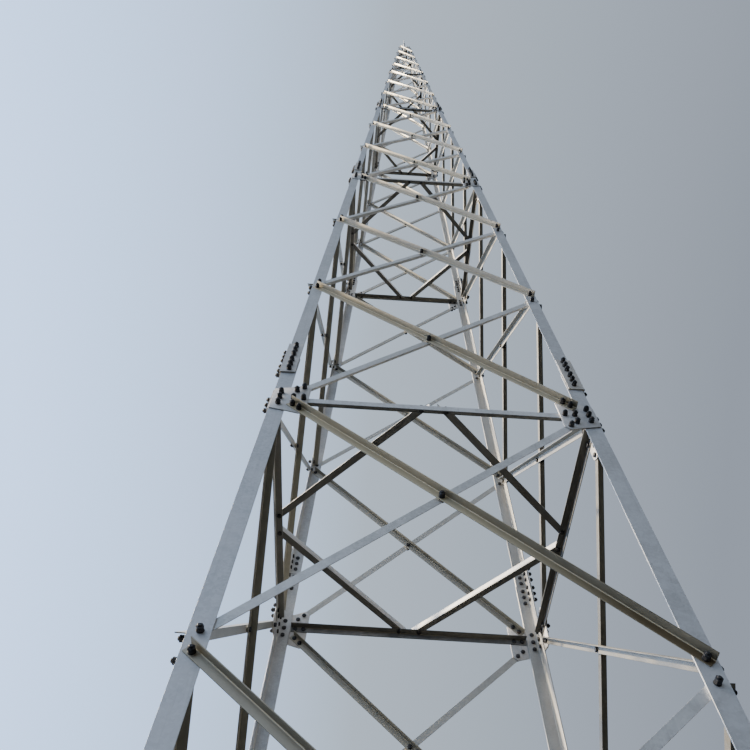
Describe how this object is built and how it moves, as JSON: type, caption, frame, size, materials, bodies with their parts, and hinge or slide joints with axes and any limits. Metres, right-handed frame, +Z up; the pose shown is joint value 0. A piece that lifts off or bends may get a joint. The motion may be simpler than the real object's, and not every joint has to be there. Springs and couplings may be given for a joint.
{
  "type": "lightning protection tower",
  "caption": "Tall tapering lattice tower of bolted steel angles with crossed bracing on every side, standing on anchored foot plates and carrying a lightning rod at its top.",
  "frame": {"origin": "middle of the underside of the front left foot plate, on the plinth", "axes": "+Z up along the tower; the front side faces -Y, the right side +X; the tower's own axis stands at X = Y = 0.93 m"},
  "size_m": [2.2, 2.2, 29.9995],
  "materials": {
    "leg_steel": "hot-dip galvanised, pale and slightly blue, weathered matt",
    "brace_steel": "hot-dip galvanised, dulled to grey with warm stains",
    "strut_steel": "hot-dip galvanised, dull grey",
    "plate_steel": "hot-dip galvanised plate, mottled grey",
    "foot_steel": "hot-dip galvanised thick plate, dusty grey",
    "rod_steel": "hot-dip galvanised tube",
    "needle_steel": "turned steel, satin"
  },
  "bodies": {
    "root": {"back_lower_bracing": "brace_steel", "back_upper_bracing": "brace_steel", "earth_lugs": "foot_steel", "foot_plates": "foot_steel", "foot_ribs": "foot_steel", "foot_shoes": "foot_steel", "front_lower_bracing": "brace_steel", "front_upper_bracing": "brace_steel", "left_lower_bracing": "brace_steel", "left_upper_bracing": "brace_steel", "level_1_gusset_plates": "plate_steel", "level_1_plan_bracing": "strut_steel", "level_1_struts": "strut_steel", "level_2_gusset_plates": "plate_steel", "level_2_plan_bracing": "strut_steel", "level_2_struts": "strut_steel", "level_3_gusset_plates": "plate_steel", "level_3_plan_bracing": "strut_steel", "level_3_struts": "strut_steel", "level_4_gusset_plates": "plate_steel", "level_4_plan_bracing": "strut_steel", "level_4_struts": "strut_steel", "level_5_gusset_plates": "plate_steel", "level_5_plan_bracing": "strut_steel", "level_5_struts": "strut_steel", "right_lower_bracing": "brace_steel", "right_upper_bracing": "brace_steel", "rod_cradle": "strut_steel", "rod_needle": "needle_steel", "rod_seat": "rod_steel", "rod_tube": "rod_steel", "section_1_legs": "leg_steel", "section_2_leg_splices": "plate_steel", "section_2_legs": "leg_steel", "section_3_leg_splices": "plate_steel", "section_3_legs": "leg_steel", "section_4_leg_splices": "plate_steel", "section_4_legs": "leg_steel", "section_5_leg_splices": "plate_steel", "section_5_legs": "leg_steel", "top_gusset_plates": "plate_steel", "top_struts": "strut_steel"}
  },
  "joints": []
}
